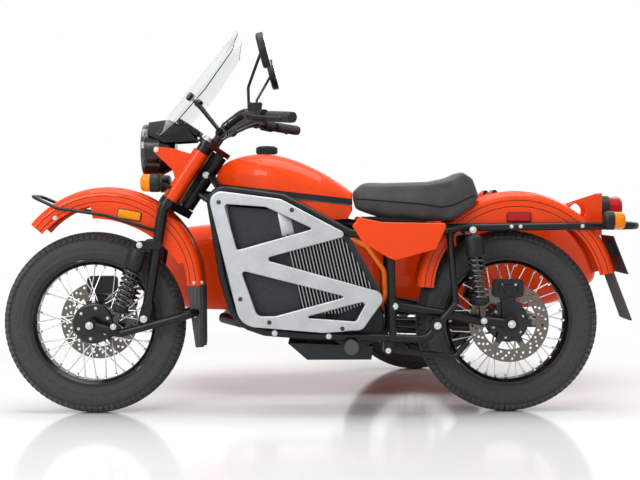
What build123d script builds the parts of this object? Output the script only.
"""Electric sidecar motorcycle: a leading-link fork, a tubular cradle frame round a battery box, and a sidecar.

Axes: +X rearwards, +Y to the right (the sidecar side), +Z up. While it is modelled, X and Y are counted from
the front axle and from the motorcycle's middle plane, and the parts are moved to the origin when they are written.
"""

from build123d import *

import os
from math import cos, radians, sin

# Driving dimensions, in millimetres and degrees
WHEELBASE = 1500.0
SIDECAR_TRACK = 1140.0  # motorcycle's middle plane to the sidecar wheel's
SIDECAR_LEAD = 250.0  # sidecar axle ahead of the rear axle
ORIGIN_X = 824.0  # middle of the footprint, behind the front axle
ORIGIN_Y = 378.0  # middle of the footprint, right of the motorcycle's middle plane
RUNNING_GAP = 0.3  # between faces that move or only touch
CLOSE_FIT = 0.08  # radial clearance of a pin in its own bore

# Wheels
TYRE_RADIUS = 330.0
TYRE_WIDTH = 108.0
BEAD_RADIUS = 230.0
RIM_INNER_RADIUS = 211.0
RIM_WIDTH = 70.0
RIM_CHAMFER = 12.0
TYRE_CROWN = 17.0  # height of the tread's round crown
SHOULDER_INSET = 10.0
HUB_RADIUS = 74.0
HUB_WIDTH = 112.0
HUB_ROUND = 8.0
SPOKE_RADIUS = 2.2
SPOKE_COUNT = 36
SPOKE_LEAN = 26.0  # angle that a spoke gains between hub and rim
DISC_RADIUS = 143.0
DISC_INNER_RADIUS = 98.0
DISC_PLANE = 76.0  # disc's middle, from the wheel's middle plane
DISC_THICKNESS = 5.0
DISC_HOLE_RADIUS = 4.5
DISC_HOLE_ROWS = 3
DISC_HOLES_IN_ROW = 24
CARRIER_RADIUS = 52.0
CARRIER_ARMS = 6
CARRIER_ARM_RADIUS = 10.0
SPOKE_SEAT = 5.0  # how far a spoke's ends reach into hub and rim
SPOKE_HUB_Y = 38.0
SPOKE_RIM_Y = 10.0
AXLE_RADIUS = 10.0

# Steering and fork, in the motorcycle's middle plane
RAKE = 33.7
STEERING_X = 443.0  # a point on the steering axis
STEERING_Z = 916.0
FORK_OFFSET = 55.0  # fork tubes ahead of the steering axis
FORK_HALF_SPREAD = 100.0
FORK_RADIUS = 19.0
COVER_RADIUS = 26.0
COVER_LENGTH = 200.0
ARM_RADIUS = 15.0
ARM_HALF_SPREAD = 104.0
ARM_REAR_X = 376.0
ARM_REAR_Z = 371.0
ARM_LOW_X = 100.0
ARM_LOW_Z = 298.0
LINK_PIVOT_X = 192.0
LINK_PIVOT_Z = 352.0
YOKE_TOP = (28.0, 46.0)  # up the steering axis from its named point
YOKE_LOW = (-230.0, -202.0)
YOKE_STEM_RADIUS = 34.0
YOKE_LEG_RADIUS = 29.0
STEM_RADIUS = 16.0
LEG_BEND_ALONG = -246.0
LEG_BEND = 70.0
LEG_FOOT_X = 204.0
LEG_FOOT_Z = 396.0
LEG_BRACKET_X = 244.0
PIVOT_EYE = 20.0
PIVOT_BOLT = 8.0
BOLT_HEAD = 6.0
EYE_HALF = 8.0
EYE_ROOM = 4.0
CLEVIS_HALF = 17.0
SHOCK_TOP_X = 181.0
SHOCK_TOP_Z = 616.0
SHOCK_LOW_X = 86.0
SHOCK_LOW_Z = 326.0
SHOCK_EYE = 14.0
SHOCK_EYE_HALF = 10.0
SHOCK_BODY = 25.0
SHOCK_HALF_SPREAD = 112.0
SPRING_TURNS = 8
ARM_BEND = 60.0
SHOCK_LUG = 18.0
AXLE_HALF = 132.0
AXLE_EYE = 22.0
LAMP_RADIUS = 91.0
LAMP_Z = 955.0
LAMP_BOLT_X = 240.0
LAMP_EAR_GAP = 2.0
EAR_THICKNESS = 5.0

# Front mudguard
GUARD_CENTRE_X = 49.0
GUARD_CENTRE_Z = 466.0
GUARD_RADIUS = 351.0
GUARD_HALF_WIDTH = 76.0
GUARD_DEPTH = 58.0
SKIRT_DEPTH = 122.0
SHEET = 3.0
GUARD_CORNER = 26.0
GUARD_FRONT_ANGLE = 140.0
SKIRT_ANGLES = (17.0, 100.0)
SKIRT_CUT_RADIUS = 380.0
GUARD_BOSS_X = 244.0
GUARD_BOSS_Z = 640.0
BOSS_RADIUS = 9.0
FLAP_LENGTH = 222.0
FLAP_NARROWING = 30.0
RAIL_SPREAD = 95.0
GUARD_RAIL_RADIUS = 6.0
CALIPER_X = 12.0
CALIPER_Z = 462.0
CALIPER_LENGTH = 110.0
CALIPER_WIDTH = 36.0
CALIPER_HEIGHT = 64.0

# Head lamp, cowl, screen and bars
LAMP_FRONT = 190.0
LAMP_BACK = 300.0
LENS_RADIUS = 84.0
LENS_CURVE = 259.0
COWL_FRONT = 206.0
COWL_BACK = 376.0
COWL_HALF_WIDTH = 88.0
COWL_WALL = 3.0
SCREEN_LEAN = 39.2
SCREEN_X = 222.0
SCREEN_Z = 1017.0
SCREEN_RADIUS = 330.0
SCREEN_HALF_WIDTH = 195.0
SCREEN_HEIGHT = 478.0
SCREEN_NOTCH = 76.0
SCREEN_SAG = 90.0
PAD_UP = 185.0
PAD_Y = 150.0
RISER_TOP = 95.0
RISER_AHEAD = 35.0
RISER_HALF_SPREAD = 45.0
BAR_RADIUS = 11.0
GRIP_RADIUS = 18.0
MIRROR_X = 636.0
MIRROR_Y = 400.0
MIRROR_Z = 1269.0
MIRROR_RADIUS = 60.0
INDICATOR_X = 225.0
INDICATOR_Y = 150.0
INDICATOR_Z = 836.0
INDICATOR_RADIUS = 33.0

# Rear end
REAR_GUARD_X = 1530.0
REAR_GUARD_Z = 435.0
REAR_GUARD_RADIUS = 362.0
REAR_GUARD_HALF_WIDTH = 82.0
SWINGARM_PIVOT_X = 1084.0
SWINGARM_PIVOT_Z = 397.0
SWINGARM_RADIUS = 18.0
SWINGARM_HALF_SPREAD = 112.0
RAIL_Z = 676.0
RAIL_RADIUS = 14.0
FRAME_HALF_WIDTH = 150.0
FRAME_RADIUS = 14.0

# Middle of the motorcycle
HEAD_LOW = -198.0
HEAD_HIGH = 24.0
HEAD_RADIUS = 30.0
BUSH_X = 1234.0
BUSH_Z = 329.0
CROSSBARS = [(640.0, 305.0), (790.0, 293.0), (1075.0, 642.0), (468.0, 560.0)]
STAND_X = 1061.0
STAND_Z = 240.0
STAND_HALF_SPREAD = 112.0
STAND_PIN = 9.0
STAND_BAR_X = 1148.0
# Cross-sections of the tank: x, half width, top z, corner radius
TANK_SECTIONS = [
    (450, 40, 872, 30), (482, 62, 908, 48), (545, 104, 931, 72), (626, 136, 938, 84), (700, 138, 926, 84),
    (780, 132, 896, 78), (860, 116, 854, 64), (938, 88, 800, 40),
]
TANK_FLOOR = 640.0  # the sections reach below the tank and are cut along its band
TANK_ROUND = 10.0
BAND_FRONT_Z = 832.0
BAND_REAR_Z = 776.0
BAND_WIDTH = 23.0
CAP_X = 629.0
CAP_Z = 940.0
CAP_RADIUS = 37.0
SEAT_HALF_WIDTH = 136.0
MOTOR_X = 945.0
MOTOR_Z = 345.0
MOTOR_RADIUS = 104.0
MOTOR_HALF = 118.0
BATTERY_HALF = 128.0
FIN_COUNT = 31
FIN_PITCH = 12.0
FIN_THICKNESS = 3.2
FIN_LEAN = 13.0
TRUSS_X = 435.0
TRUSS_Z = 805.0
TRUSS_STEP = 3.512
TRUSS_THICKNESS = 13.0
TRUSS_ROLL = 5.0
CABLE_PLANES = (-108.0, -84.0, 84.0)
CABLE_RADIUS = 9.0
PEG_X = 929.0
PEG_Z = 262.0
PEG_REACH = 250.0

# Rear end
REAR_GUARD_DEPTH = 60.0
REAR_WING_DEPTH = 160.0
REAR_GUARD_ANGLES = (12.0, 176.0)
TAIL_RAIL_SPREAD = 96.0
REAR_SHOCK_SPREAD = 148.0
REAR_SHOCK_TOP_X = 1360.0
REAR_SHOCK_TOP_Z = 666.0
REAR_SHOCK_LOW_X = 1399.0
REAR_SHOCK_LOW_Z = 344.0
TAIL_FACE = 1840.0
TAIL_LAMP_Z = 738.0
PLATE_HOLE_Y = 90.0
REAR_INDICATOR_X = 1856.0

# Sidecar
SIDECAR_LEFT = 342.0  # left chassis rail
SIDECAR_RIGHT = SIDECAR_TRACK - 260
SIDECAR_SHOCK_Y = SIDECAR_TRACK - 132
SIDE_GUARD_RADIUS = 392.0
SIDE_GUARD_HALF_WIDTH = 76.0
SIDE_GUARD_DEPTH = 62.0
TUB_LEFT = 318.0
TUB_RIGHT = SIDECAR_TRACK - 210
TUB_MIDDLE = (TUB_LEFT + TUB_RIGHT) / 2
TUB_HALF = (TUB_RIGHT - TUB_LEFT) / 2
# Cross-sections of the tub: x, share of its half width, lowest and highest z, corner's share of the smaller half side
TUB_SECTIONS = [
    (150, 0.30, 440, 596, 0.70), (195, 0.50, 372, 640, 0.60), (270, 0.69, 342, 662, 0.50), (420, 0.86, 336, 676, 0.40),
    (640, 0.975, 336, 684, 0.33), (900, 1.0, 336, 690, 0.30), (1230, 1.0, 336, 704, 0.30), (1490, 0.99, 336, 776, 0.27),
    (1690, 0.94, 350, 736, 0.33), (1850, 0.80, 396, 672, 0.50), (1925, 0.64, 446, 632, 0.60),
]
TUB_END_ROUND = 40.0
COCKPIT_FRONT = (560.0, 0.72 * TUB_HALF)  # x and half width
COCKPIT_REAR = (1330.0, 0.765 * TUB_HALF)
BOOT_FRONT = (1534.0, 0.667 * TUB_HALF)
BOOT_REAR = (1850.0, 0.503 * TUB_HALF)
HINGE_SPREAD = 0.438 * TUB_HALF
BENCH_HALF_WIDTH = 0.72 * TUB_HALF
LID_GAP = 2.0
HINGE_X = 1522.0
HINGE_Z = 800.0
HINGE_PIN = 4.0
TUB_WALL = 12.0
SIDECAR_RAIL_Z = 290.0
SIDECAR_TUBE_RADIUS = 21.0

REAR_AXLE_X = WHEELBASE
SIDECAR_AXLE_X = WHEELBASE - SIDECAR_LEAD
AXLE_Z = TYRE_RADIUS

parts = {}


# Small makers that every section below uses
def rod(start, end, radius):
    """A round bar from one point to another."""
    run = Vector(end) - Vector(start)
    return Solid.make_cylinder(radius, run.length, Plane(origin=start, z_dir=run))


def pin(x, y_from, y_to, z, radius):
    """A round bar along Y."""
    return rod((x, y_from, z), (x, y_to, z), radius)


def tube(points, radius, bend=40.0):
    """A round bar that follows points, with its corners bent."""
    path = FilletPolyline(*points, radius=bend) if len(points) > 2 else Line(*points)
    start = Plane(origin=points[0], z_dir=Vector(points[1]) - Vector(points[0]))
    return sweep(start * Circle(radius), path=path)


def plate(sketch, y_from, y_to):
    """A sketch of X and Z, as thick as the gap between two Y planes."""
    return extrude(Plane.XZ.offset(-y_to) * sketch, amount=y_to - y_from)


def strap(ends, y_from, y_to):
    """A flat link whose round ends are (x, z, radius)."""
    edges = []
    for x, z, radius in ends:
        edges += (Pos(x, z) * Circle(radius)).edges()
    return plate(make_face(make_hull(edges)), y_from, y_to)


def both_sides(shape):
    """A left piece and its mirror image on the right."""
    return shape, mirror(shape, about=Plane.XZ)


def ring_plane(x, y, z, angle):
    """A plane through a wheel's axis: its x runs outwards at an angle above the rearward horizon, its y along Y."""
    a = radians(angle)
    return Plane(origin=(x, y, z), x_dir=(cos(a), 0, sin(a)), z_dir=(-sin(a), 0, cos(a)))


def sweep_round(profile, x, y, z, start, end):
    """A profile of radius and Y, turned about a wheel's axis between two angles."""
    return revolve(ring_plane(x, y, z, start) * profile, Axis((x, y, z), (0, -1, 0)), end - start)


def polar(x, z, radius, angle):
    a = radians(angle)
    return x + radius * cos(a), z + radius * sin(a)


def channel(radius, half_width, depth, corner, wall):
    """A mudguard's section: a round-shouldered channel with a pressed bead along its crown."""
    outer = Pos(radius - depth / 2, 0) * Rectangle(depth, 2 * half_width)
    outer = fillet(outer.vertices().group_by(Axis.X)[-1], corner)
    inner = Pos(radius - wall - depth / 2, 0) * Rectangle(depth, 2 * (half_width - wall))
    inner = fillet(inner.vertices().group_by(Axis.X)[-1], corner - wall)
    bead = Pos(radius - 8, 0) * Circle(14)
    return (outer - inner) + (bead - inner) - Pos(radius - 8, 0) * Circle(14 - wall)


def add(name, *shapes):
    """Keeps a named piece as its separate solids."""
    solids = []
    for shape in shapes:
        solids += shape.solids()
    parts[name] = Compound(solids) if len(solids) > 1 else solids[0]


# Steering axis and fork line
RAKE_DIR = Vector(sin(radians(RAKE)), 0, cos(radians(RAKE)))
RAKE_FORWARD = Vector(-cos(radians(RAKE)), 0, sin(radians(RAKE)))
STEERING_POINT = Vector(STEERING_X, 0, STEERING_Z)


def on_fork(along, y=0.0, ahead=FORK_OFFSET):
    """A point measured up the steering axis, sideways and ahead of it."""
    return STEERING_POINT + RAKE_DIR * along + RAKE_FORWARD * ahead + Vector(0, y, 0)


# Wheels: one design, turned round where its disc is on the other side
def tyre():
    """A round tyre about the origin, solid down to its bead."""
    half = TYRE_WIDTH / 2
    bead_half = RIM_WIDTH / 2 - 1
    base = BEAD_RADIUS + RUNNING_GAP
    shoulder = TYRE_RADIUS - TYRE_CROWN
    bulge = (base + shoulder) / 2
    edge = half - SHOULDER_INSET
    profile = Curve() + [
        ThreePointArc((base, bead_half), (bulge, half), (shoulder, edge)),
        ThreePointArc((shoulder, edge), (TYRE_RADIUS, 0), (shoulder, -edge)),
        ThreePointArc((shoulder, -edge), (bulge, -half), (base, -bead_half)),
        Line((base, -bead_half), (base, bead_half)),
    ]
    return sweep_round(make_face(profile), 0, 0, 0, 0, 360)


def wheel():
    """Rim, crossed spokes, full-width hub and drilled disc, in one piece about the origin, with its disc at +Y."""
    rim = Pos((BEAD_RADIUS + RIM_INNER_RADIUS) / 2, 0) * Rectangle(BEAD_RADIUS - RIM_INNER_RADIUS, RIM_WIDTH)
    rim = sweep_round(chamfer(rim.vertices().group_by(Axis.X)[0], RIM_CHAMFER), 0, 0, 0, 0, 360)
    hub = pin(0, -HUB_WIDTH / 2, HUB_WIDTH / 2, 0, HUB_RADIUS)
    hub = fillet(hub.edges().filter_by(GeomType.CIRCLE), HUB_ROUND)
    near, far = DISC_PLANE - DISC_THICKNESS / 2, DISC_PLANE + DISC_THICKNESS / 2
    disc = pin(0, near, far, 0, DISC_RADIUS) - pin(0, near, far, 0, DISC_INNER_RADIUS)
    holes = []
    row_step = (DISC_RADIUS - DISC_INNER_RADIUS) / (DISC_HOLE_ROWS + 1)
    hole_angle = 360 / DISC_HOLES_IN_ROW
    for row in range(DISC_HOLE_ROWS):
        for k in range(DISC_HOLES_IN_ROW):
            x, z = polar(0, 0, DISC_INNER_RADIUS + row_step * (row + 1), hole_angle * (k + row / DISC_HOLE_ROWS))
            holes.append(pin(x, near, far, z, DISC_HOLE_RADIUS))
    disc -= holes
    carrier = pin(0, 0, far, 0, CARRIER_RADIUS)
    arms = []
    for k in range(CARRIER_ARMS):
        x, z = polar(0, 0, DISC_INNER_RADIUS + CARRIER_ARM_RADIUS / 2, 360 / CARRIER_ARMS * k)
        arms.append(strap([(0, 0, 1.6 * CARRIER_ARM_RADIUS), (x, z, CARRIER_ARM_RADIUS)], near, far))
    spokes = []
    for k in range(SPOKE_COUNT):
        side = 1 if k % 2 else -1
        lean = SPOKE_LEAN if (k // 2) % 2 else -SPOKE_LEAN
        angle = 360 / SPOKE_COUNT * k
        x, z = polar(0, 0, HUB_RADIUS - SPOKE_SEAT, angle - lean)
        rim_x, rim_z = polar(0, 0, RIM_INNER_RADIUS + SPOKE_SEAT, angle)
        spokes.append(rod((x, side * SPOKE_HUB_Y, z), (rim_x, side * SPOKE_RIM_Y, rim_z), SPOKE_RADIUS))
    whole = hub.fuse(rim, disc, carrier, *arms, *spokes)
    return whole - pin(0, -DISC_RADIUS, DISC_RADIUS, 0, AXLE_RADIUS + CLOSE_FIT)


TYRE = tyre()
WHEEL = wheel()
for name, x, y, turn in (
    ("front", 0.0, 0.0, 0),
    ("rear", REAR_AXLE_X, 0.0, 180),
    ("sidecar", SIDECAR_AXLE_X, SIDECAR_TRACK, 180),
):
    add(f"{name}_tyre", Pos(x, y, AXLE_Z) * TYRE)
    add(f"{name}_wheel", Pos(x, y, AXLE_Z) * Rot(0, 0, turn) * WHEEL)

# Fork: yokes, bent legs, painted covers with the lamp's ears
def yoke(low, high):
    """A flat clamp across the stem and both legs."""
    base = Plane(origin=on_fork(low, 0, 0), x_dir=RAKE_FORWARD, z_dir=RAKE_DIR)
    edges = Circle(YOKE_STEM_RADIUS).edges()
    for side in (-1, 1):
        edges += (Pos(FORK_OFFSET, side * FORK_HALF_SPREAD) * Circle(YOKE_LEG_RADIUS)).edges()
    return extrude(base * make_face(make_hull(edges)), amount=high - low)


def bolt_ends(side, spread):
    """Where a clevis bolt starts and stops, with its head outside."""
    return sorted((side * (spread - CLEVIS_HALF), side * (spread + CLEVIS_HALF + BOLT_HEAD)))


LINK_PATH = [(0, -ARM_HALF_SPREAD, AXLE_Z), (ARM_LOW_X, -ARM_HALF_SPREAD, ARM_LOW_Z)]
LINK_PATH += [(ARM_REAR_X, -ARM_HALF_SPREAD, ARM_REAR_Z)]
LINK_PATH += [(x, -y, z) for x, y, z in reversed(LINK_PATH)]


def fork_leg(side):
    """A leg that bends below the lower yoke, with its shock bracket and the clevis for the leading link."""
    y = side * FORK_HALF_SPREAD
    foot = (LEG_FOOT_X, y, LEG_FOOT_Z)
    leg = tube([on_fork(YOKE_TOP[1], y), on_fork(LEG_BEND_ALONG, y), foot], FORK_RADIUS, bend=LEG_BEND)
    clevis = strap(
        [(LEG_FOOT_X, LEG_FOOT_Z, FORK_RADIUS), (LINK_PIVOT_X, LINK_PIVOT_Z, PIVOT_EYE)],
        y - CLEVIS_HALF, y + CLEVIS_HALF,
    )
    clevis -= plate(
        Pos(LINK_PIVOT_X, LINK_PIVOT_Z) * Circle(PIVOT_EYE + EYE_ROOM),
        y - EYE_HALF - RUNNING_GAP, y + EYE_HALF + RUNNING_GAP,
    )
    clevis -= tube(LINK_PATH, ARM_RADIUS + RUNNING_GAP, bend=ARM_BEND)
    shock_y = side * SHOCK_HALF_SPREAD
    bracket = strap(
        [(SHOCK_TOP_X, SHOCK_TOP_Z, SHOCK_EYE), (LEG_BRACKET_X, SHOCK_TOP_Z, SHOCK_EYE)],
        shock_y - CLEVIS_HALF, shock_y + CLEVIS_HALF,
    )
    bracket -= plate(
        Pos(SHOCK_TOP_X, SHOCK_TOP_Z) * Circle(SHOCK_BODY + EYE_ROOM),
        shock_y - SHOCK_EYE_HALF - RUNNING_GAP, shock_y + SHOCK_EYE_HALF + RUNNING_GAP,
    )
    bolts = [
        pin(LINK_PIVOT_X, *bolt_ends(side, FORK_HALF_SPREAD), LINK_PIVOT_Z, PIVOT_BOLT),
        pin(SHOCK_TOP_X, *bolt_ends(side, SHOCK_HALF_SPREAD), SHOCK_TOP_Z, PIVOT_BOLT),
    ]
    return leg.fuse(clevis, bracket, *bolts)


def shock(bottom, top, body, eye, eye_half, spring_turns):
    """A coil-over damper between two eyes: a tube, a top cap, a lower collar and a wound spring."""
    low, high = Vector(bottom), Vector(top)
    axis = (high - low).normalized()
    span = (high - low).length
    damper = rod(low + axis * (1.4 * eye), low + axis * (0.55 * span), 0.5 * body)
    shaft = rod(low, high, 0.32 * body)
    cap = rod(low + axis * (0.72 * span), low + axis * (0.93 * span), body)
    collar = rod(low + axis * (0.2 * span), low + axis * (0.25 * span), body)
    spring_plane = Plane(origin=low + axis * (0.24 * span), z_dir=axis)
    height = 0.5 * span
    coil = Helix(pitch=height / spring_turns, height=height, radius=0.8 * body)
    wire = Plane(origin=coil @ 0, z_dir=coil % 0) * Circle(0.13 * body)
    spring = spring_plane.location * sweep(wire, path=coil, is_frenet=True)
    eyes = []
    for point in (low, high):
        ring = pin(point.X, point.Y - eye_half, point.Y + eye_half, point.Z, eye)
        eyes.append(ring)
    whole = damper.fuse(shaft, cap, collar, spring, *eyes)
    for point in (low, high):
        whole -= pin(point.X, point.Y - 2 * eye, point.Y + 2 * eye, point.Z, PIVOT_BOLT + CLOSE_FIT)
    return whole


YOKES = yoke(*YOKE_TOP).fuse(yoke(*YOKE_LOW), rod(on_fork(YOKE_LOW[0], 0, 0), on_fork(YOKE_TOP[1], 0, 0), STEM_RADIUS))
LEGS = [fork_leg(side) for side in (-1, 1)]
for side in (-1, 1):
    y = side * FORK_HALF_SPREAD
    YOKES -= rod(on_fork(YOKE_LOW[0] - 5, y), on_fork(YOKE_TOP[1] + 5, y), FORK_RADIUS + CLOSE_FIT)
add("fork_yokes", YOKES)
add("fork_legs", *LEGS)

EAR_OUTLINE = [
    (LAMP_BOLT_X - 12, LAMP_Z - 6),
    (LAMP_BOLT_X - 8, LAMP_Z + 12),
    (LAMP_BOLT_X + 60, LAMP_Z + 4),
    (on_fork(-18).X, on_fork(-18).Z),
    (on_fork(-150).X, on_fork(-150).Z),
    (LAMP_BOLT_X + 55, LAMP_Z - 70),
]


def fork_cover(side):
    """A painted sleeve between the yokes, with the plate that holds the head lamp."""
    y = side * FORK_HALF_SPREAD
    sleeve = rod(on_fork(YOKE_LOW[1] + 1, y), on_fork(0, y), COVER_RADIUS)
    ear_in = side * (LAMP_RADIUS + LAMP_EAR_GAP)
    ear_out = ear_in + side * EAR_THICKNESS
    ear = plate(make_face(Polyline(*EAR_OUTLINE, close=True)), min(ear_in, ear_out), max(ear_in, ear_out))
    bolt_ends = sorted((side * (LAMP_RADIUS + RUNNING_GAP), ear_out + side * 6))
    bolt = pin(LAMP_BOLT_X, bolt_ends[0], bolt_ends[1], LAMP_Z, 9)
    whole = sleeve.fuse(ear, bolt)
    return whole - rod(on_fork(YOKE_LOW[1] - 5, y), on_fork(20, y), FORK_RADIUS + 1)


add("fork_covers", *[fork_cover(side) for side in (-1, 1)])

# Leading link: one bent tube round the back of the wheel, with eyes for its pivots and the axle
link_extras = [pin(0, -AXLE_HALF, AXLE_HALF, AXLE_Z, AXLE_RADIUS)]
link_pins = []
link_slope = (ARM_REAR_Z - ARM_LOW_Z) / (ARM_REAR_X - ARM_LOW_X)
for side in (-1, 1):
    y = side * ARM_HALF_SPREAD
    fork_y = side * FORK_HALF_SPREAD
    shock_y = side * SHOCK_HALF_SPREAD
    link_extras.append(pin(0, y - ARM_RADIUS, y + ARM_RADIUS, AXLE_Z, AXLE_EYE))
    nut = sorted((y, side * (AXLE_HALF - BOLT_HEAD)))
    link_extras.append(pin(0, nut[0], nut[1], AXLE_Z, 1.5 * AXLE_RADIUS))
    tube_z = ARM_LOW_Z + link_slope * (LINK_PIVOT_X - ARM_LOW_X)
    link_extras.append(
        strap([(LINK_PIVOT_X, LINK_PIVOT_Z, PIVOT_EYE), (LINK_PIVOT_X, tube_z, PIVOT_EYE / 2)],
              fork_y - EYE_HALF, fork_y + EYE_HALF)
    )
    link_extras.append(
        strap([(SHOCK_LOW_X, SHOCK_LOW_Z, SHOCK_EYE), (SHOCK_LOW_X, SHOCK_LOW_Z - SHOCK_LUG, SHOCK_EYE)],
              shock_y - CLEVIS_HALF, shock_y + CLEVIS_HALF)
    )
    link_pins.append(pin(SHOCK_LOW_X, *bolt_ends(side, SHOCK_HALF_SPREAD), SHOCK_LOW_Z, PIVOT_BOLT))
link = tube(LINK_PATH, ARM_RADIUS, bend=ARM_BEND).fuse(*link_extras)
for side in (-1, 1):
    y = side * FORK_HALF_SPREAD
    shock_y = side * SHOCK_HALF_SPREAD
    link -= pin(LINK_PIVOT_X, y - EYE_HALF, y + EYE_HALF, LINK_PIVOT_Z, PIVOT_BOLT + CLOSE_FIT)
    link -= strap(
        [(SHOCK_LOW_X, SHOCK_LOW_Z, SHOCK_EYE + 1), (SHOCK_LOW_X, SHOCK_LOW_Z + 2 * SHOCK_LUG, SHOCK_BODY)],
        shock_y - SHOCK_EYE_HALF - RUNNING_GAP, shock_y + SHOCK_EYE_HALF + RUNNING_GAP,
    )
link = link.fuse(*link_pins)
add("leading_link", link)
add("front_shocks", *[
    shock((SHOCK_LOW_X, side * SHOCK_HALF_SPREAD, SHOCK_LOW_Z),
          (SHOCK_TOP_X, side * SHOCK_HALF_SPREAD, SHOCK_TOP_Z), SHOCK_BODY, SHOCK_EYE, SHOCK_EYE_HALF, SPRING_TURNS)
    for side in (-1, 1)
])

# Front mudguard, its flap and its rail
guard_section = channel(GUARD_RADIUS, GUARD_HALF_WIDTH, GUARD_DEPTH, GUARD_CORNER, SHEET)
skirt_section = channel(GUARD_RADIUS, GUARD_HALF_WIDTH, SKIRT_DEPTH, GUARD_CORNER, SHEET)
front_guard = sweep_round(guard_section, GUARD_CENTRE_X, 0, GUARD_CENTRE_Z, 0, GUARD_FRONT_ANGLE)
skirt = sweep_round(skirt_section, GUARD_CENTRE_X, 0, GUARD_CENTRE_Z, *SKIRT_ANGLES)
skirt -= pin(0, -2 * GUARD_HALF_WIDTH, 2 * GUARD_HALF_WIDTH, AXLE_Z, SKIRT_CUT_RADIUS)
front_guard = front_guard.fuse(skirt)
for side in (-1, 1):
    boss = sorted((side * (GUARD_HALF_WIDTH - SHEET), side * (FORK_HALF_SPREAD - FORK_RADIUS)))
    front_guard = front_guard.fuse(pin(GUARD_BOSS_X, boss[0], boss[1], GUARD_BOSS_Z, BOSS_RADIUS))
add("front_fender", front_guard)

flap_plane = Plane(origin=(GUARD_CENTRE_X, 0, GUARD_CENTRE_Z), x_dir=(1, 0, 0), z_dir=(0, 0, -1))
flap_left = GUARD_CENTRE_X + GUARD_RADIUS - GUARD_DEPTH
flap_right = GUARD_CENTRE_X + GUARD_RADIUS + 10
flap_low = GUARD_CENTRE_Z - FLAP_LENGTH
flap_side = Polyline(
    (flap_left, GUARD_CENTRE_Z + 1), (flap_right, GUARD_CENTRE_Z + 1), (flap_right, flap_low),
    (flap_left + FLAP_NARROWING, flap_low), close=True,
)
flap = extrude(flap_plane * guard_section, amount=FLAP_LENGTH + 1)
flap = flap & plate(make_face(flap_side), -GUARD_HALF_WIDTH - 1, GUARD_HALF_WIDTH + 1)
flap -= tube(LINK_PATH, ARM_RADIUS + 2, bend=ARM_BEND)
add("front_flap", flap.solids().sort_by(SortBy.VOLUME)[-1])

rail_half = [
    (LEG_BRACKET_X + 2, -RAIL_SPREAD, 662),
    (54, -RAIL_SPREAD, 722),
    (-118, -RAIL_SPREAD, 748),
    (-212, -RAIL_SPREAD + 20, 790),
]
guard_rail = tube(rail_half + [(x, -y, z) for x, y, z in reversed(rail_half)], GUARD_RAIL_RADIUS, bend=35)
for side in (-1, 1):
    ends = sorted((side * RAIL_SPREAD, side * GUARD_HALF_WIDTH))
    guard_rail = guard_rail.fuse(pin(-112, ends[0], ends[1], 746, GUARD_RAIL_RADIUS - 1))
guard_rail = guard_rail.cut(*LEGS)
add("fender_rail", guard_rail.solids().sort_by(SortBy.VOLUME)[-1])

# Front brake caliper, on the disc's upper edge at the right
caliper = Pos(CALIPER_X, DISC_PLANE + 5, CALIPER_Z) * Box(CALIPER_LENGTH, CALIPER_WIDTH, CALIPER_HEIGHT)
caliper = fillet(caliper.edges().filter_by(Axis.Y), 14)
caliper_bracket = strap(
    [(0, AXLE_Z, 26), (CALIPER_X, CALIPER_Z, 24)], ARM_HALF_SPREAD - ARM_RADIUS - 7, ARM_HALF_SPREAD - ARM_RADIUS,
)
caliper_bracket -= pin(0, 0, ARM_HALF_SPREAD, AXLE_Z, AXLE_RADIUS + CLOSE_FIT)
caliper = caliper.fuse(caliper_bracket)
caliper -= pin(0, DISC_PLANE - DISC_THICKNESS / 2 - 3, DISC_PLANE + DISC_THICKNESS / 2 + 3, AXLE_Z, DISC_RADIUS + 6)
add("front_caliper", caliper)

# Head lamp, its lens and the black cowl above it
lamp_plane = Plane(origin=(0, 0, LAMP_Z), x_dir=(1, 0, 0), z_dir=(0, -1, 0))
lamp_profile = make_face(Polyline(
    (LAMP_FRONT + 16, 0), (LAMP_FRONT + 16, LENS_RADIUS), (LAMP_FRONT, LENS_RADIUS), (LAMP_FRONT, LAMP_RADIUS + 3),
    (LAMP_FRONT + 14, LAMP_RADIUS + 3), (LAMP_FRONT + 14, LAMP_RADIUS), (LAMP_BOLT_X + 8, LAMP_RADIUS),
    (LAMP_BACK - 16, 0.8 * LAMP_RADIUS), (LAMP_BACK, 0.5 * LAMP_RADIUS), (LAMP_BACK, 0), close=True,
))
lamp_axis = Axis((0, 0, LAMP_Z), (1, 0, 0))
add("headlight", revolve(lamp_plane * lamp_profile, lamp_axis, 360))
lens_ball = Pos(LAMP_FRONT - 12 + LENS_CURVE, 0, LAMP_Z) * Sphere(LENS_CURVE)
lens_disc = rod((LAMP_FRONT - 14, 0, LAMP_Z), (LAMP_FRONT + 16, 0, LAMP_Z), LENS_RADIUS)
add("headlight_lens", lens_disc & lens_ball)

cowl_side = make_face(Polyline(
    (COWL_FRONT, 1010), (COWL_FRONT + 6, 1052), (COWL_FRONT + 78, 1062), (COWL_BACK - 30, 1032), (COWL_BACK, 996),
    (COWL_BACK - 6, 986), (COWL_FRONT + 60, 980), close=True,
))
cowl = plate(cowl_side, -COWL_HALF_WIDTH, COWL_HALF_WIDTH)
cowl = fillet(cowl.edges().filter_by(Axis.Y).group_by(Axis.Z)[-1], 14)
cowl_hollow = plate(offset(cowl_side, -COWL_WALL), -COWL_HALF_WIDTH + COWL_WALL, COWL_HALF_WIDTH - COWL_WALL)
cowl -= Pos(0, 0, -2 * COWL_WALL) * cowl_hollow
cowl -= rod((0, 0, LAMP_Z), (LAMP_BACK + 20, 0, LAMP_Z), LAMP_RADIUS)
add("cowl", cowl.solids().sort_by(SortBy.VOLUME)[-1])

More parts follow.
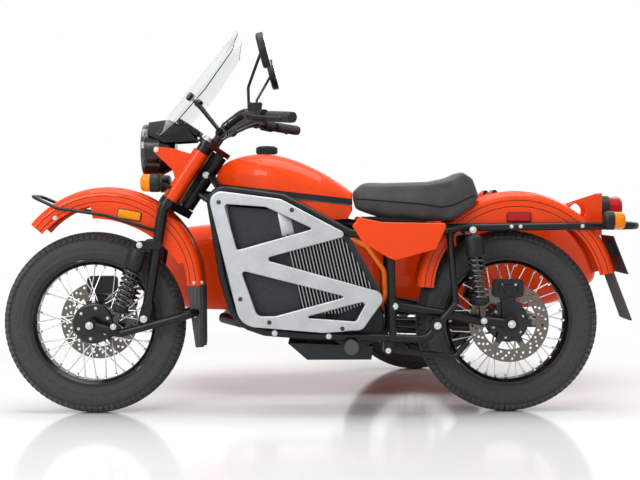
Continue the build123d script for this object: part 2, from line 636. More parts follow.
# Wind screen: a leaning curved sheet with a notch round the lamp, on two rods from the handlebar
SCREEN_UP = Vector(sin(radians(SCREEN_LEAN)), 0, cos(radians(SCREEN_LEAN)))
SCREEN_OUT = Vector(-cos(radians(SCREEN_LEAN)), 0, sin(radians(SCREEN_LEAN)))
SCREEN_FOOT = Vector(SCREEN_X, 0, SCREEN_Z)


def on_screen(up, y, inside=0.0):
    """A point on the screen's curved sheet, or so far inside it."""
    angle = y / SCREEN_RADIUS
    level = SCREEN_FOOT + SCREEN_UP * up - SCREEN_OUT * SCREEN_RADIUS
    reach = SCREEN_RADIUS - inside
    return level + SCREEN_OUT * (reach * cos(angle)) + Vector(0, reach * sin(angle), 0)


screen_level = Plane(origin=SCREEN_FOOT - SCREEN_OUT * SCREEN_RADIUS, x_dir=SCREEN_OUT, z_dir=SCREEN_UP)
sheet_ring = extrude(screen_level * (Circle(SCREEN_RADIUS) - Circle(SCREEN_RADIUS - SHEET)), amount=SCREEN_HEIGHT)
w = SCREEN_HALF_WIDTH
screen_outline = make_face(Polyline(
    (-0.55 * w, 0), (-0.8 * w, 12), (-0.95 * w, 90), (-w, 0.5 * SCREEN_HEIGHT), (-0.9 * w, 0.85 * SCREEN_HEIGHT),
    (-0.6 * w, 0.97 * SCREEN_HEIGHT), (0, SCREEN_HEIGHT), (0.6 * w, 0.97 * SCREEN_HEIGHT),
    (0.9 * w, 0.85 * SCREEN_HEIGHT), (w, 0.5 * SCREEN_HEIGHT), (0.95 * w, 90), (0.8 * w, 12), (0.55 * w, 0),
    (0.5 * w, SCREEN_NOTCH), (-0.5 * w, SCREEN_NOTCH), close=True,
))
screen_outline = fillet(screen_outline.vertices().filter_by(lambda v: abs(v.X) > 1), 22)
screen_face = Plane(origin=SCREEN_FOOT + SCREEN_OUT * 20, x_dir=(0, 1, 0), z_dir=-SCREEN_OUT)
screen_turn = 1 if screen_face.y_dir.dot(SCREEN_UP) > 0 else -1
if screen_turn < 0:
    screen_face = Plane(origin=SCREEN_FOOT + SCREEN_OUT * 20, x_dir=(0, -1, 0), z_dir=-SCREEN_OUT)
add("windscreen", sheet_ring & extrude(screen_face * screen_outline, amount=SCREEN_SAG + 20))

# Handlebar on two risers, with grips, controls and mirrors
bar_half = [(731, -390, 1048), (640, -300, 1058), (555, -205, 1072)]
bar_half.append((on_fork(RISER_TOP, 0, RISER_AHEAD).X, -75, on_fork(RISER_TOP, 0, RISER_AHEAD).Z))
bar_only = tube(bar_half + [(x, -y, z) for x, y, z in reversed(bar_half)], BAR_RADIUS, bend=40)
risers = []
for side in (-1, 1):
    y = side * RISER_HALF_SPREAD
    risers.append(rod(on_fork(YOKE_TOP[1], y, RISER_AHEAD), on_fork(RISER_TOP, y, RISER_AHEAD), 14))
    clamp_x, clamp_z = on_fork(RISER_TOP, 0, RISER_AHEAD).X, on_fork(RISER_TOP, 0, RISER_AHEAD).Z
    risers.append(pin(clamp_x, y - 15, y + 15, clamp_z, 20))
handlebar = bar_only.fuse(*risers)
add("handlebar", handlebar)

bar_end, bar_knee, bar_rise = [Vector(*point) for point in bar_half[:3]]
GRIP_DIR = (bar_end - bar_knee).normalized()
HOUSING_DIR = (bar_knee - bar_rise).normalized()
grip = rod(bar_knee + GRIP_DIR * 14, bar_end + GRIP_DIR * 4, GRIP_RADIUS) - handlebar

perch = bar_rise + HOUSING_DIR * 96
perch_end = perch + Vector(-44, 0, 6)
lever_mid = bar_knee + GRIP_DIR * 20 + Vector(-48, -34, -2)
lever_tip = bar_end + Vector(-42, -20, -6)
controls = rod(bar_rise + HOUSING_DIR * 74, bar_rise + HOUSING_DIR * 120, 23)
controls = controls.fuse(
    rod(perch, perch_end, 13),
    Pos(*(perch + Vector(-18, 16, 22))) * Box(46, 40, 34),
    tube([perch_end, lever_mid, lever_tip], 6, bend=25),
    Sphere(9).moved(Pos(*lever_tip)),
)
controls -= handlebar
controls = controls.solids().sort_by(SortBy.VOLUME)[-1]
add("bar_controls", *both_sides(grip), *both_sides(controls))

mirror_face = Vector(0.97, 0, 0.24)
mirror_middle = Vector(MIRROR_X, -MIRROR_Y, MIRROR_Z)
mirror_head = rod(mirror_middle - mirror_face * 14, mirror_middle + mirror_face * 12, MIRROR_RADIUS)
mirror_head = fillet(mirror_head.edges().filter_by(GeomType.CIRCLE).sort_by(Axis.X)[0], 10)
mirror_path = [perch_end + Vector(6, 4, 4), perch_end + Vector(4, -4, 90), mirror_middle + Vector(-24, 40, -40)]
mirror_path.append(mirror_middle - mirror_face * 6)
mirror_whole = mirror_head.fuse(tube([tuple(point) for point in mirror_path], 5, bend=18)) - controls
add("mirrors", *both_sides(mirror_whole.solids().sort_by(SortBy.VOLUME)[-1]))

brackets = []
for side in (-1, 1):
    y = side * PAD_Y
    pad = rod(on_screen(PAD_UP, y, SHEET + 10), on_screen(PAD_UP, y, SHEET), 15)
    outside = rod(on_screen(PAD_UP, y, 0), on_screen(PAD_UP, y, -5), 15)
    pad = pad.fuse(rod(on_screen(PAD_UP, y, SHEET), on_screen(PAD_UP, y, 0), 4), outside)
    clamp_x, clamp_z = on_fork(RISER_TOP, 0, RISER_AHEAD).X, on_fork(RISER_TOP, 0, RISER_AHEAD).Z
    arm = rod((clamp_x, side * 72, clamp_z), on_screen(PAD_UP, y, SHEET + 8), 5)
    brackets.append(pad.fuse(arm) - handlebar)
parts["windscreen"] = parts["windscreen"].cut(
    *[rod(on_screen(PAD_UP, side * PAD_Y, 20), on_screen(PAD_UP, side * PAD_Y, -10), 4) for side in (-1, 1)]
).solids()[0]
brackets = [bracket - parts["windscreen"] for bracket in brackets]
add("screen_brackets", *[bracket.solids().sort_by(SortBy.VOLUME)[-1] for bracket in brackets])

# Front indicators on stalks from the fork covers
lamp_bodies, lamp_lenses = [], []
for side in (-1, 1):
    y = side * INDICATOR_Y
    body = rod((INDICATOR_X, y, INDICATOR_Z), (INDICATOR_X + 36, y, INDICATOR_Z), INDICATOR_RADIUS)
    body = fillet(body.edges().group_by(Axis.X)[-1], 12)
    stalk = rod((INDICATOR_X + 28, y, INDICATOR_Z), on_fork(-160, side * FORK_HALF_SPREAD), 7)
    lamp_bodies.append((body.fuse(stalk) - parts["fork_covers"]).solids().sort_by(SortBy.VOLUME)[-1])
    lens = rod((INDICATOR_X - 34, y, INDICATOR_Z), (INDICATOR_X, y, INDICATOR_Z), INDICATOR_RADIUS - 2)
    lamp_lenses.append(fillet(lens.edges().group_by(Axis.X)[0], 14))
add("front_indicator_bodies", *lamp_bodies)
add("front_indicator_lenses", *lamp_lenses)

# Main frame: steering head, backbone, twin cradle tubes and the rear posts
head_tube = rod(on_fork(HEAD_LOW, 0, 0), on_fork(HEAD_HIGH, 0, 0), HEAD_RADIUS)
backbone = rod((400, 0, 790), (1075, 0, 655), 20)
frame_side = [
    tube(
        [(1300, -108, 664), (1075, -FRAME_HALF_WIDTH, 642), (930, -FRAME_HALF_WIDTH, 655),
         (690, -FRAME_HALF_WIDTH, 783), (428, -FRAME_HALF_WIDTH, 818), (477, -FRAME_HALF_WIDTH, 503),
         (513, -FRAME_HALF_WIDTH, 379), (560, -FRAME_HALF_WIDTH, 330), (625, -FRAME_HALF_WIDTH, 307),
         (777, -FRAME_HALF_WIDTH, 294), (960, -FRAME_HALF_WIDTH, 288), (1195, -FRAME_HALF_WIDTH, 280),
         (BUSH_X, -FRAME_HALF_WIDTH, BUSH_Z)],
        FRAME_RADIUS, bend=45,
    ),
    rod((1070, -FRAME_HALF_WIDTH, 642), (1078, -FRAME_HALF_WIDTH, 273), FRAME_RADIUS),
    rod((1282, -FRAME_HALF_WIDTH + 34, 662), (1301, -FRAME_HALF_WIDTH, 402), FRAME_RADIUS - 2),
    rod((1301, -FRAME_HALF_WIDTH, 404), (BUSH_X, -FRAME_HALF_WIDTH, BUSH_Z), FRAME_RADIUS - 2),
    pin(BUSH_X, -FRAME_HALF_WIDTH - 26, -FRAME_HALF_WIDTH + 14, BUSH_Z, 27),
    rod((436, -FRAME_HALF_WIDTH, 770), (378, -10, 800), FRAME_RADIUS - 2),
    rod((470, -FRAME_HALF_WIDTH, 810), (420, -10, 868), FRAME_RADIUS - 2),
]
crossbars = [pin(x, -FRAME_HALF_WIDTH, FRAME_HALF_WIDTH, z, 12) for x, z in CROSSBARS]
seat_base = Pos(1090, 0, 683) * Box(230, 200, 56)
saddles = [Pos(x, 0, z) * Box(44, 70, 60) for x, z in ((560, 800), (860, 755))]
pivot_shaft = pin(SWINGARM_PIVOT_X, -FRAME_HALF_WIDTH, FRAME_HALF_WIDTH, SWINGARM_PIVOT_Z, 12)
stand_lugs = []
for side in (-1, 1):
    y = side * STAND_HALF_SPREAD
    low, high = sorted((y, side * FRAME_HALF_WIDTH))
    stand_lugs.append(pin(STAND_X, low - 12, high + 4, STAND_Z, STAND_PIN))
    stand_lugs.append(strap([(STAND_X, STAND_Z, 16), (STAND_X, 268, 16)], *sorted((side * 130, side * 150))))
frame_pieces = []
for piece in frame_side:
    frame_pieces += both_sides(piece)
frame = head_tube.fuse(backbone, *frame_pieces, *crossbars, seat_base, *saddles, pivot_shaft, *stand_lugs)
frame -= rod(on_fork(HEAD_LOW - 10, 0, 0), on_fork(HEAD_HIGH + 10, 0, 0), STEM_RADIUS + CLOSE_FIT)

# Tank with a band along its lower edge and a filler cap
tank_faces = []
for x, half, top, corner in TANK_SECTIONS:
    rise = (top - TANK_FLOOR) / 2
    section = RectangleRounded(2 * half, 2 * rise, corner)
    tank_faces.append(Plane((x, 0, TANK_FLOOR + rise), x_dir=(0, 1, 0), z_dir=(1, 0, 0)) * section)
tank_form = loft(tank_faces)
tank_ends = tank_form.faces().filter_by(GeomType.PLANE).sort_by(Axis.X)
tank_form = fillet(tank_ends[0].edges() + tank_ends[-1].edges(), TANK_ROUND)
upper_side = make_face(Polyline((400, BAND_FRONT_Z + 7), (400, 1000), (1000, 1000), (1000, BAND_REAR_Z - 7), close=True))
band_side = make_face(Polyline(
    (400, BAND_FRONT_Z + 7), (1000, BAND_REAR_Z - 7), (1000, BAND_REAR_Z - 7 - BAND_WIDTH),
    (400, BAND_FRONT_Z + 7 - BAND_WIDTH), close=True,
))
shell_side = make_face(Polyline(
    (690, 780.5), (746, 758), (824, 714), (862, 702), (922, 706), (938, 736), (938, 751.8), close=True,
))
tank_shape = plate(upper_side, -200, 200) & tank_form
band = plate(band_side, -200, 200) & tank_form
shell_below = plate(shell_side, -130, 130) & tank_form
shell_below = shell_below.cut(band, backbone).solids().sort_by(SortBy.VOLUME)[-1]
add("tank", tank_shape.solids().sort_by(SortBy.VOLUME)[-1])
add("tank_band", band.solids().sort_by(SortBy.VOLUME)[-1])
add("tank_lower", shell_below)
tank_shape = parts["tank"]
band = parts["tank_band"]
cap = rod((CAP_X, 0, CAP_Z), (CAP_X, 0, CAP_Z + 24), CAP_RADIUS)
cap = fillet(cap.edges().group_by(Axis.Z)[-1], 6)
add("tank_cap", cap - tank_shape)

# Seat with a raised back edge
seat_side = make_face(Polyline(
    (937, 806), (969, 832), (1051, 828), (1209, 832), (1277, 845), (1334, 871), (1370, 852), (1395, 786),
    (1373, 752), (1296, 701), (1209, 698), (1051, 710), (947, 741), close=True,
))
seat_plan = make_face(Polyline(
    (930, 92), (1010, 112), (1200, SEAT_HALF_WIDTH), (1330, SEAT_HALF_WIDTH - 6), (1400, 96),
    (1400, -96), (1330, -SEAT_HALF_WIDTH + 6), (1200, -SEAT_HALF_WIDTH), (1010, -112), (930, -92), close=True,
))
seat_shape = plate(seat_side, -SEAT_HALF_WIDTH, SEAT_HALF_WIDTH) & extrude(Pos(0, 0, 650) * seat_plan, amount=300)
rear_envelope = pin(REAR_GUARD_X, -REAR_GUARD_HALF_WIDTH - RUNNING_GAP, REAR_GUARD_HALF_WIDTH + RUNNING_GAP,
                    REAR_GUARD_Z, REAR_GUARD_RADIUS + 6.3)
seat_shape -= rear_envelope
add("seat", seat_shape)
frame = frame.cut(seat_shape, tank_shape, band, shell_below)

# Battery box, finned coolers and motor inside the cradle
motor_block = pin(MOTOR_X, -MOTOR_HALF, MOTOR_HALF, MOTOR_Z, MOTOR_RADIUS)
motor_block = fillet(motor_block.edges().filter_by(GeomType.CIRCLE), 8)
motor_nose = pin(MOTOR_X, -MOTOR_HALF - 14, MOTOR_HALF + 14, MOTOR_Z, 0.6 * MOTOR_RADIUS)
motor_block = motor_block.fuse(motor_nose)
battery_side = make_face(Polyline(
    (492, 752), (700, 735), (925, 645), (1035, 455), (985, 410), (900, 300), (660, 312), (600, 345), (562, 430),
    (516, 610),
    close=True,
))
battery = plate(battery_side, -BATTERY_HALF, BATTERY_HALF)
battery = battery.cut(pin(MOTOR_X, -200, 200, MOTOR_Z, MOTOR_RADIUS), backbone, *crossbars)
battery = battery.solids().sort_by(SortBy.VOLUME)[-1]
add("battery_box", battery)
cooler_side = make_face(Polyline((700, 652), (900, 644), (1012, 452), (975, 405), (890, 372), (758, 372), close=True))
cooler = plate(cooler_side, -BATTERY_HALF - 4, -BATTERY_HALF)
fin_slabs = []
for k in range(FIN_COUNT):
    slab = Pos(640 + FIN_PITCH * k, -BATTERY_HALF - 14, 505) * Rot(0, -FIN_LEAN, 0) * Box(FIN_THICKNESS, 28, 500)
    fin_slabs.append(slab)
fins = plate(cooler_side, -BATTERY_HALF - 28, -BATTERY_HALF - 3) & Compound(fin_slabs)
cooler = cooler.fuse(*fins.solids())
cooler = cooler.cut(motor_block).solids().sort_by(SortBy.VOLUME)[-1]
add("coolers", *both_sides(cooler))
frame = frame.cut(motor_block)
add("motor", motor_block)
add("main_frame", frame.solids().sort_by(SortBy.VOLUME)[-1])
FRAME = parts["main_frame"]

# Cut-out side plates of bright metal
# Corners of the plate and its windows in side-view steps, each with its radius
TRUSS_OUTLINE = [
    (206.5, 188.9, 40), (281, 199, 60), (349.8, 235.6, 12), (262.5, 259, 8), (388, 294.6, 30), (362, 331, 34),
    (323, 333.5, 60), (239.7, 326.4, 75),
]
TRUSS_WINDOWS = [
    [(224.6, 203.8, 9), (266, 207, 20), (313, 229, 4), (237, 250, 9)],
    [(241, 270.4, 9), (346, 297.3, 4), (275, 316.3, 20), (257, 316.3, 24)],
    [(302.7, 318, 4), (367, 301.4, 9), (355.5, 322, 9)],
]


def truss_sketch(points):
    """A rounded outline laid out in side-view steps of TRUSS_STEP from the plate's own corner."""
    laid = [(TRUSS_X + (x - 210) * TRUSS_STEP, TRUSS_Z - (z - 191) * TRUSS_STEP, r) for x, z, r in points]
    face = make_face(Polyline(*[(x, z) for x, z, r in laid], close=True))
    for x, z, r in laid:
        face = fillet(face.vertices().sort_by_distance((x, z, 0))[0], r)
    return face


truss = truss_sketch(TRUSS_OUTLINE)
for window in TRUSS_WINDOWS:
    truss -= truss_sketch(window)
truss_plate = plate(truss, -FRAME_HALF_WIDTH - FRAME_RADIUS - TRUSS_THICKNESS, -FRAME_HALF_WIDTH - FRAME_RADIUS)
truss_plate = fillet(truss_plate.faces().sort_by(Axis.Y)[0].edges(), TRUSS_ROLL)
add("truss_plates", *both_sides(truss_plate))

# Cables from the battery down to the motor, beside the seat post
cables = []
for y in CABLE_PLANES:
    route = [(900, y, 640), (985, y, 610), (1050, y, 520), (1054, y, 425), (1000, y, 360)]
    cable = tube(route, CABLE_RADIUS, 40).cut(battery, motor_block, FRAME)
    cables.append(cable.solids().sort_by(SortBy.VOLUME)[-1])
add("power_cables", *cables)

# Painted side covers under the seat
cover_side = make_face(Polyline(
    (934, 682), (959, 711), (1040, 694), (1261, 690), (1265, 678), (1230, 599), (1086, 560), (1061, 569), (970, 625),
    close=True,
))
cover_side = fillet(cover_side.vertices(), 6)
cover_in = FRAME_HALF_WIDTH + FRAME_RADIUS
side_cover = plate(cover_side, -cover_in - 16, -cover_in)
side_cover = fillet(side_cover.faces().sort_by(Axis.Y)[0].edges(), 5)
add("side_covers", *both_sides(side_cover))

# Belly pan, foot pegs and the centre stand
pan_side = make_face(Polyline((706, 262), (774, 203), (1003, 203), (1010, 250), (760, 262), close=True))
pan = plate(pan_side, -118, 118).cut(motor_block, FRAME, battery)
add("belly_pan", pan.solids().sort_by(SortBy.VOLUME)[-1])
peg = pin(PEG_X, -PEG_REACH, -FRAME_HALF_WIDTH, PEG_Z, 20).fuse(pin(PEG_X, -PEG_REACH - 6, -PEG_REACH, PEG_Z, 25))
add("foot_pegs", *[piece.cut(FRAME).solids().sort_by(SortBy.VOLUME)[-1] for piece in both_sides(peg)])

stand_half = [(STAND_X, -STAND_HALF_SPREAD, STAND_Z), (1300, -STAND_HALF_SPREAD - 10, 212)]
stand_half.append((1346, -STAND_HALF_SPREAD - 20, 268))
stand_pieces = []
for piece in (
    tube(stand_half, 11, bend=30),
    pin(STAND_X, -STAND_HALF_SPREAD - 11, -STAND_HALF_SPREAD + 11, STAND_Z, 18),
):
    stand_pieces += both_sides(piece)
stand_pieces.append(pin(STAND_BAR_X, -STAND_HALF_SPREAD, STAND_HALF_SPREAD, 230, 10))
stand = stand_pieces[0].fuse(*stand_pieces[1:])
stand -= pin(STAND_X, -200, 200, STAND_Z, STAND_PIN + CLOSE_FIT)
add("centre_stand", stand)

# Rear swing arm, axle, dampers and brake
arm_paths = []
for side in (-1, 1):
    y = side * SWINGARM_HALF_SPREAD
    arm_paths.append(
        tube([(SWINGARM_PIVOT_X, y, SWINGARM_PIVOT_Z), (1390, y, 342), (REAR_AXLE_X, y, AXLE_Z)], SWINGARM_RADIUS, 60)
    )
    arm_paths.append(pin(REAR_AXLE_X, y - SWINGARM_RADIUS, y + SWINGARM_RADIUS, AXLE_Z, 28))
    shock_pin = sorted((y, side * (REAR_SHOCK_SPREAD + 16)))
    arm_paths.append(pin(REAR_SHOCK_LOW_X, shock_pin[0], shock_pin[1], REAR_SHOCK_LOW_Z, PIVOT_BOLT))
arm_paths.append(pin(REAR_AXLE_X, -AXLE_HALF - 12, AXLE_HALF + 12, AXLE_Z, AXLE_RADIUS))
arm_half = SWINGARM_HALF_SPREAD + SWINGARM_RADIUS
sleeve = pin(SWINGARM_PIVOT_X, -arm_half, arm_half, SWINGARM_PIVOT_Z, 22)
swingarm = sleeve.fuse(*arm_paths) - pin(SWINGARM_PIVOT_X, -200, 200, SWINGARM_PIVOT_Z, 12 + CLOSE_FIT)
add("rear_swingarm", swingarm)

# Rear mudguard, its flap and the tail rail beside it
rear_section = channel(REAR_GUARD_RADIUS, REAR_GUARD_HALF_WIDTH, REAR_GUARD_DEPTH, GUARD_CORNER, SHEET)
wing_section = channel(REAR_GUARD_RADIUS, REAR_GUARD_HALF_WIDTH, REAR_WING_DEPTH, GUARD_CORNER, SHEET)
rear_guard = sweep_round(rear_section, REAR_GUARD_X, 0, REAR_GUARD_Z, *REAR_GUARD_ANGLES)
wing = sweep_round(wing_section, REAR_GUARD_X, 0, REAR_GUARD_Z, 20, 160)
wing &= Pos(REAR_GUARD_X, 0, RAIL_Z + 190) * Box(1000, 400, 400)
rear_guard = rear_guard.fuse(wing)
rail_half = [
    (1250, -TAIL_RAIL_SPREAD, RAIL_Z - 4), (1700, -TAIL_RAIL_SPREAD, RAIL_Z), (1964, -TAIL_RAIL_SPREAD + 30, RAIL_Z),
]
tail_rail = tube(rail_half + [(x, -y, z) for x, y, z in reversed(rail_half)], RAIL_RADIUS, bend=45)
shock_mounts = []
for side in (-1, 1):
    ends = sorted((side * TAIL_RAIL_SPREAD, side * (REAR_SHOCK_SPREAD + 16)))
    shock_mounts.append(pin(REAR_SHOCK_TOP_X, ends[0], ends[1], REAR_SHOCK_TOP_Z, PIVOT_BOLT))
tail_rail = tail_rail.fuse(*shock_mounts).cut(FRAME, rear_guard)
tail_rail = tail_rail.solids().sort_by(SortBy.VOLUME)[-1]
add("rear_fender", rear_guard)
add("tail_rail", tail_rail)
add("rear_shocks", *[
    shock((REAR_SHOCK_LOW_X, side * REAR_SHOCK_SPREAD, REAR_SHOCK_LOW_Z),
          (REAR_SHOCK_TOP_X, side * REAR_SHOCK_SPREAD, REAR_SHOCK_TOP_Z), SHOCK_BODY, SHOCK_EYE, SHOCK_EYE_HALF,
          SPRING_TURNS)
    for side in (-1, 1)
])
rear_caliper = Pos(1495, -DISC_PLANE - 5, CALIPER_Z - 8) * Box(CALIPER_LENGTH, CALIPER_WIDTH, CALIPER_HEIGHT)
rear_caliper = fillet(rear_caliper.edges().filter_by(Axis.Y), 14)
rear_inner = SWINGARM_HALF_SPREAD - SWINGARM_RADIUS
rear_strap = strap([(REAR_AXLE_X, AXLE_Z, 26), (1495, CALIPER_Z, 24)], -rear_inner, -rear_inner + 7)
rear_strap -= pin(REAR_AXLE_X, -200, 200, AXLE_Z, AXLE_RADIUS + CLOSE_FIT)
rear_caliper = rear_caliper.fuse(rear_strap)
rear_caliper -= pin(REAR_AXLE_X, -DISC_PLANE - DISC_THICKNESS / 2 - 3, -DISC_PLANE + DISC_THICKNESS / 2 + 3, AXLE_Z,
                    DISC_RADIUS + 6)
add("rear_caliper", rear_caliper)

flap_side = make_face(Polyline((1862, 530), (1870, 530), (1944, 335), (1934, 335), close=True))
rear_flap = plate(flap_side, -74, 74).cut(rear_guard)
add("rear_flap", rear_flap.solids().sort_by(Axis.Z)[0])

# Tail: bracket with a round cut-out, lamp, indicators and plate holder
bracket_side = make_face(Polyline((1700, 735), (1714, 752), (TAIL_FACE, 793), (TAIL_FACE, 640), (1800, 640), close=True))
bracket_side -= Pos(1752, 728) * Circle(30)
tail_cheeks = both_sides(plate(bracket_side, -46, -42))
tail_face = Pos(TAIL_FACE - 2, 0, 722) * Box(4, 92, 142)
tail_bracket = tail_face.fuse(*tail_cheeks).cut(rear_guard)
tail_bracket -= pin(REAR_GUARD_X, -70, 70, REAR_GUARD_Z, REAR_GUARD_RADIUS)
add("tail_bracket", tail_bracket.solids().sort_by(SortBy.VOLUME)[-1])
lamp_base = rod((TAIL_FACE, 0, TAIL_LAMP_Z), (TAIL_FACE + 30, 0, TAIL_LAMP_Z), 46)
tail_lens = rod((TAIL_FACE + 30, 0, TAIL_LAMP_Z), (TAIL_FACE + 78, 0, TAIL_LAMP_Z), 43)
add("tail_lens", fillet(tail_lens.edges().group_by(Axis.X)[-1], 14))
lamp_bodies, lamp_lenses = [], []
for side in (-1, 1):
    y = side * INDICATOR_Y
    body = rod((REAR_INDICATOR_X - 34, y, 696), (REAR_INDICATOR_X, y, 696), INDICATOR_RADIUS)
    body = fillet(body.edges().group_by(Axis.X)[0], 12)
    stalk = rod((REAR_INDICATOR_X - 20, y, 694), (REAR_INDICATOR_X - 20, side * TAIL_RAIL_SPREAD, RAIL_Z), 7)
    lamp_bodies.append((body.fuse(stalk) - tail_rail).solids().sort_by(SortBy.VOLUME)[-1])
    lens = rod((REAR_INDICATOR_X, y, 696), (REAR_INDICATOR_X + 40, y, 696), INDICATOR_RADIUS - 2)
    lamp_lenses.append(fillet(lens.edges().group_by(Axis.X)[-1], 14))
add("tail_lamp_bodies", lamp_base, *lamp_bodies)
add("rear_indicator_lenses", *lamp_lenses)
holder_side = make_face(Polyline((1866, 640), (1870, 640), (1924, 503), (1918, 503), close=True))
holder = plate(holder_side, -100, 100).fuse(Pos(1866, 0, 590) * Box(44, 70, 40)).cut(rear_guard)
holder -= pin(REAR_GUARD_X, -75, 75, REAR_GUARD_Z, REAR_GUARD_RADIUS)
holder = holder.solids().sort_by(SortBy.VOLUME)[-1]
holder -= [rod((1850, y, 560), (1960, y, 560), 3.5) for y in (-PLATE_HOLE_Y, PLATE_HOLE_Y)]
add("plate_holder", holder)

# Sidecar chassis: two rails, crossbars, struts to the motorcycle and the wheel's arm
side_rails = [
    tube([(430, SIDECAR_LEFT + 120, 300), (520, SIDECAR_LEFT, SIDECAR_RAIL_Z), (1700, SIDECAR_LEFT, SIDECAR_RAIL_Z)],
         SIDECAR_TUBE_RADIUS, 60),
    tube([(430, SIDECAR_RIGHT - 120, 300), (520, SIDECAR_RIGHT, SIDECAR_RAIL_Z), (1700, SIDECAR_RIGHT, SIDECAR_RAIL_Z)],
         SIDECAR_TUBE_RADIUS, 60),
]
side_bars = [rod((x, SIDECAR_LEFT, SIDECAR_RAIL_Z), (x, SIDECAR_RIGHT, SIDECAR_RAIL_Z), 17) for x in (560, 1120, 1690)]
side_bars.append(rod((434, SIDECAR_LEFT + 110, 300), (434, SIDECAR_RIGHT - 110, 300), 17))
STRUT_BEND_Y = (FRAME_HALF_WIDTH + SIDECAR_LEFT) / 2
struts = [
    rod((640, FRAME_HALF_WIDTH, 305), (640, SIDECAR_LEFT, SIDECAR_RAIL_Z), 17),
    rod((BUSH_X, FRAME_HALF_WIDTH, BUSH_Z), (BUSH_X, SIDECAR_LEFT, SIDECAR_RAIL_Z), 17),
    tube([(470, FRAME_HALF_WIDTH, 560), (500, STRUT_BEND_Y, 420), (560, SIDECAR_LEFT, SIDECAR_RAIL_Z)], 14, 60),
    tube([(1282, FRAME_HALF_WIDTH - 30, 640), (1300, STRUT_BEND_Y - 10, 480), (1320, SIDECAR_LEFT, SIDECAR_RAIL_Z)], 14, 60),
]
pads = []
for x in (600, 1500):
    for y in (SIDECAR_LEFT, SIDECAR_RIGHT):
        pads.append(Pos(x, y, SIDECAR_RAIL_Z + 30) * Box(70, 30, 50))
SHOCK_POST_Y = SIDECAR_SHOCK_Y - 40
shock_post = tube([(1120, SIDECAR_RIGHT, SIDECAR_RAIL_Z), (1120, SHOCK_POST_Y, 330), (1120, SHOCK_POST_Y, 600)], 13, 40)
shock_pin = pin(1120, SHOCK_POST_Y - 6, SIDECAR_SHOCK_Y + 16, 585, PIVOT_BOLT)
chassis_pieces = side_rails[1:] + side_bars + struts + pads + [shock_post, shock_pin]
side_frame = side_rails[0].fuse(*chassis_pieces)
SIDE_ARM_Y = SIDECAR_TRACK - 104
side_arm = tube([(860, SIDECAR_RIGHT, 290), (880, SIDE_ARM_Y, 292), (SIDECAR_AXLE_X, SIDE_ARM_Y, AXLE_Z)], 16, 50)
side_arm = side_arm.fuse(
    pin(SIDECAR_AXLE_X, SIDE_ARM_Y - 16, SIDE_ARM_Y + 16, AXLE_Z, 26),
    pin(SIDECAR_AXLE_X, SIDE_ARM_Y, SIDECAR_TRACK + 76, AXLE_Z, AXLE_RADIUS),
    pin(SIDECAR_AXLE_X, SIDECAR_TRACK + 60, SIDECAR_TRACK + 72, AXLE_Z, 18),
    pin(1165, SIDECAR_SHOCK_Y - 14, SIDE_ARM_Y, 321, PIVOT_BOLT),
)

# Sidecar body: a hollow tub with a cockpit, a boot and its lid
def tub_solid(inset):
    """The tub's outer form, or the same form so far inside it."""
    faces = []
    last = len(TUB_SECTIONS) - 1
    for k, (x, share, low, high, corner) in enumerate(TUB_SECTIONS):
        half = share * TUB_HALF - inset
        rise = (high - low) / 2 - inset
        place = x + (inset if k == 0 else 0) - (inset if k == last else 0)
        section = RectangleRounded(2 * half, 2 * rise, corner * (min(half, rise) + inset) - inset)
        faces.append(Plane((place, TUB_MIDDLE, (low + high) / 2), x_dir=(0, 1, 0), z_dir=(1, 0, 0)) * section)
    body = loft(faces)
    ends = body.faces().filter_by(GeomType.PLANE).sort_by(Axis.X)
    return fillet(ends[0].edges() + ends[-1].edges(), TUB_END_ROUND - inset)


def between(front, rear):
    """A face seen from above, symmetric about the tub, between two places given as x and half width."""
    corners = [(front[0], TUB_MIDDLE - front[1]), (rear[0], TUB_MIDDLE - rear[1])]
    corners += [(rear[0], TUB_MIDDLE + rear[1]), (front[0], TUB_MIDDLE + front[1])]
    return make_face(Polyline(*corners, close=True))


tub_outer = tub_solid(0)
tub_inner = tub_solid(TUB_WALL)
bulkhead = Pos(1440, TUB_MIDDLE, 600) * Box(TUB_WALL, 700, 700) & tub_outer
shell = (tub_outer - tub_inner).fuse(bulkhead)
cockpit = fillet(between(COCKPIT_FRONT, COCKPIT_REAR).vertices(), 50)
shell -= extrude(Pos(0, 0, 560) * cockpit, amount=400)
boot = extrude(Pos(0, 0, 500) * fillet(between(BOOT_FRONT, BOOT_REAR).vertices(), 30), amount=400)
lid_plan = offset(between(BOOT_FRONT, BOOT_REAR), -LID_GAP)
lid = extrude(Pos(0, 0, 500) * fillet(lid_plan.vertices(), 30 - LID_GAP), amount=400) & (tub_outer - tub_inner)
lid = lid.solids().sort_by(Axis.Z)[-1]
shell -= boot
hinge_posts, hinge_knuckles = [], []
for y in (TUB_MIDDLE - HINGE_SPREAD, TUB_MIDDLE + HINGE_SPREAD):
    hinge_posts.append(pin(HINGE_X, y - 44, y + 44, HINGE_Z, HINGE_PIN))
    for end in (-40, 40):
        post = strap([(HINGE_X, HINGE_Z, 9), (HINGE_X - 34, HINGE_Z - 26, 9)], y + end - 5, y + end + 5)
        hinge_posts.append(post - tub_inner)
    hinge_knuckles.append(strap([(HINGE_X, HINGE_Z, 9), (HINGE_X + 50, HINGE_Z - 32, 9)], y - 34, y + 34))
lid = lid.fuse(*[piece - tub_inner for piece in hinge_knuckles])
lid -= pin(HINGE_X, TUB_LEFT, TUB_RIGHT, HINGE_Z, HINGE_PIN + CLOSE_FIT)
add("boot_lid", lid.solids().sort_by(SortBy.VOLUME)[-1])
shell = shell.fuse(*hinge_posts)
add("sidecar_tub", shell.solids().sort_by(SortBy.VOLUME)[-1])
TUB = parts["sidecar_tub"]

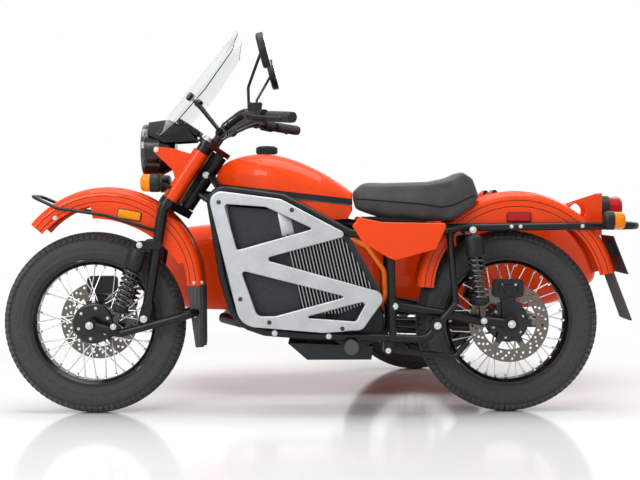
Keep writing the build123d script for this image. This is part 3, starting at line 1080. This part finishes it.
cushion_side = make_face(Polyline((880, 470), (890, 347), (1255, 347), (1370, 680), (1280, 690), (1205, 465), close=True))
cushion = plate(cushion_side, TUB_MIDDLE - BENCH_HALF_WIDTH, TUB_MIDDLE + BENCH_HALF_WIDTH).cut(TUB)
add("sidecar_seat", cushion.solids().sort_by(SortBy.VOLUME)[-1])

side_frame = side_frame.cut(TUB, FRAME, parts["truss_plates"], parts["side_covers"], parts["tail_rail"])
side_frame = side_frame.solids().sort_by(SortBy.VOLUME)[-1]
add("sidecar_frame", side_frame)
add("sidecar_arm", side_arm.cut(side_frame).solids().sort_by(SortBy.VOLUME)[-1])
add("sidecar_shock", shock((1165, SIDECAR_SHOCK_Y, 321), (1120, SIDECAR_SHOCK_Y, 585), 22, 13, 9, 7))

# Sidecar mudguard, held by pins to the tub, and its lamps
side_section = channel(SIDE_GUARD_RADIUS, SIDE_GUARD_HALF_WIDTH, SIDE_GUARD_DEPTH, GUARD_CORNER, SHEET)
side_guard = sweep_round(side_section, SIDECAR_AXLE_X, SIDECAR_TRACK, AXLE_Z, 20, 172)
guard_pins = []
for angle in (50, 75, 128, 152):
    x, z = polar(SIDECAR_AXLE_X, AXLE_Z, SIDE_GUARD_RADIUS - 36, angle)
    stay = pin(x, TUB_RIGHT - 40, SIDECAR_TRACK - SIDE_GUARD_HALF_WIDTH, z, 10).cut(TUB)
    guard_pins.append(stay.solids().sort_by(Axis.Y)[-1])
add("sidecar_fender", side_guard)
add("fender_stays", *guard_pins)
lamps = []
for angle, run in ((138, -60), (40, 60)):
    x, z = polar(SIDECAR_AXLE_X, AXLE_Z, SIDE_GUARD_RADIUS + 14, angle)
    lamp = rod((x, SIDECAR_TRACK, z), (x + run, SIDECAR_TRACK, z), 30).cut(parts["sidecar_fender"])
    lamp -= pin(SIDECAR_AXLE_X, SIDECAR_TRACK - 70, SIDECAR_TRACK + 70, AXLE_Z, SIDE_GUARD_RADIUS)
    lamps.append(lamp.solids().sort_by(SortBy.VOLUME)[-1])
add("sidecar_lamps", *lamps)

if __name__ == "__main__":
    os.makedirs("parts", exist_ok=True)
    for name, shape in parts.items():
        export_step(Pos(-ORIGIN_X, -ORIGIN_Y, 0) * shape, f"parts/{name}.step")
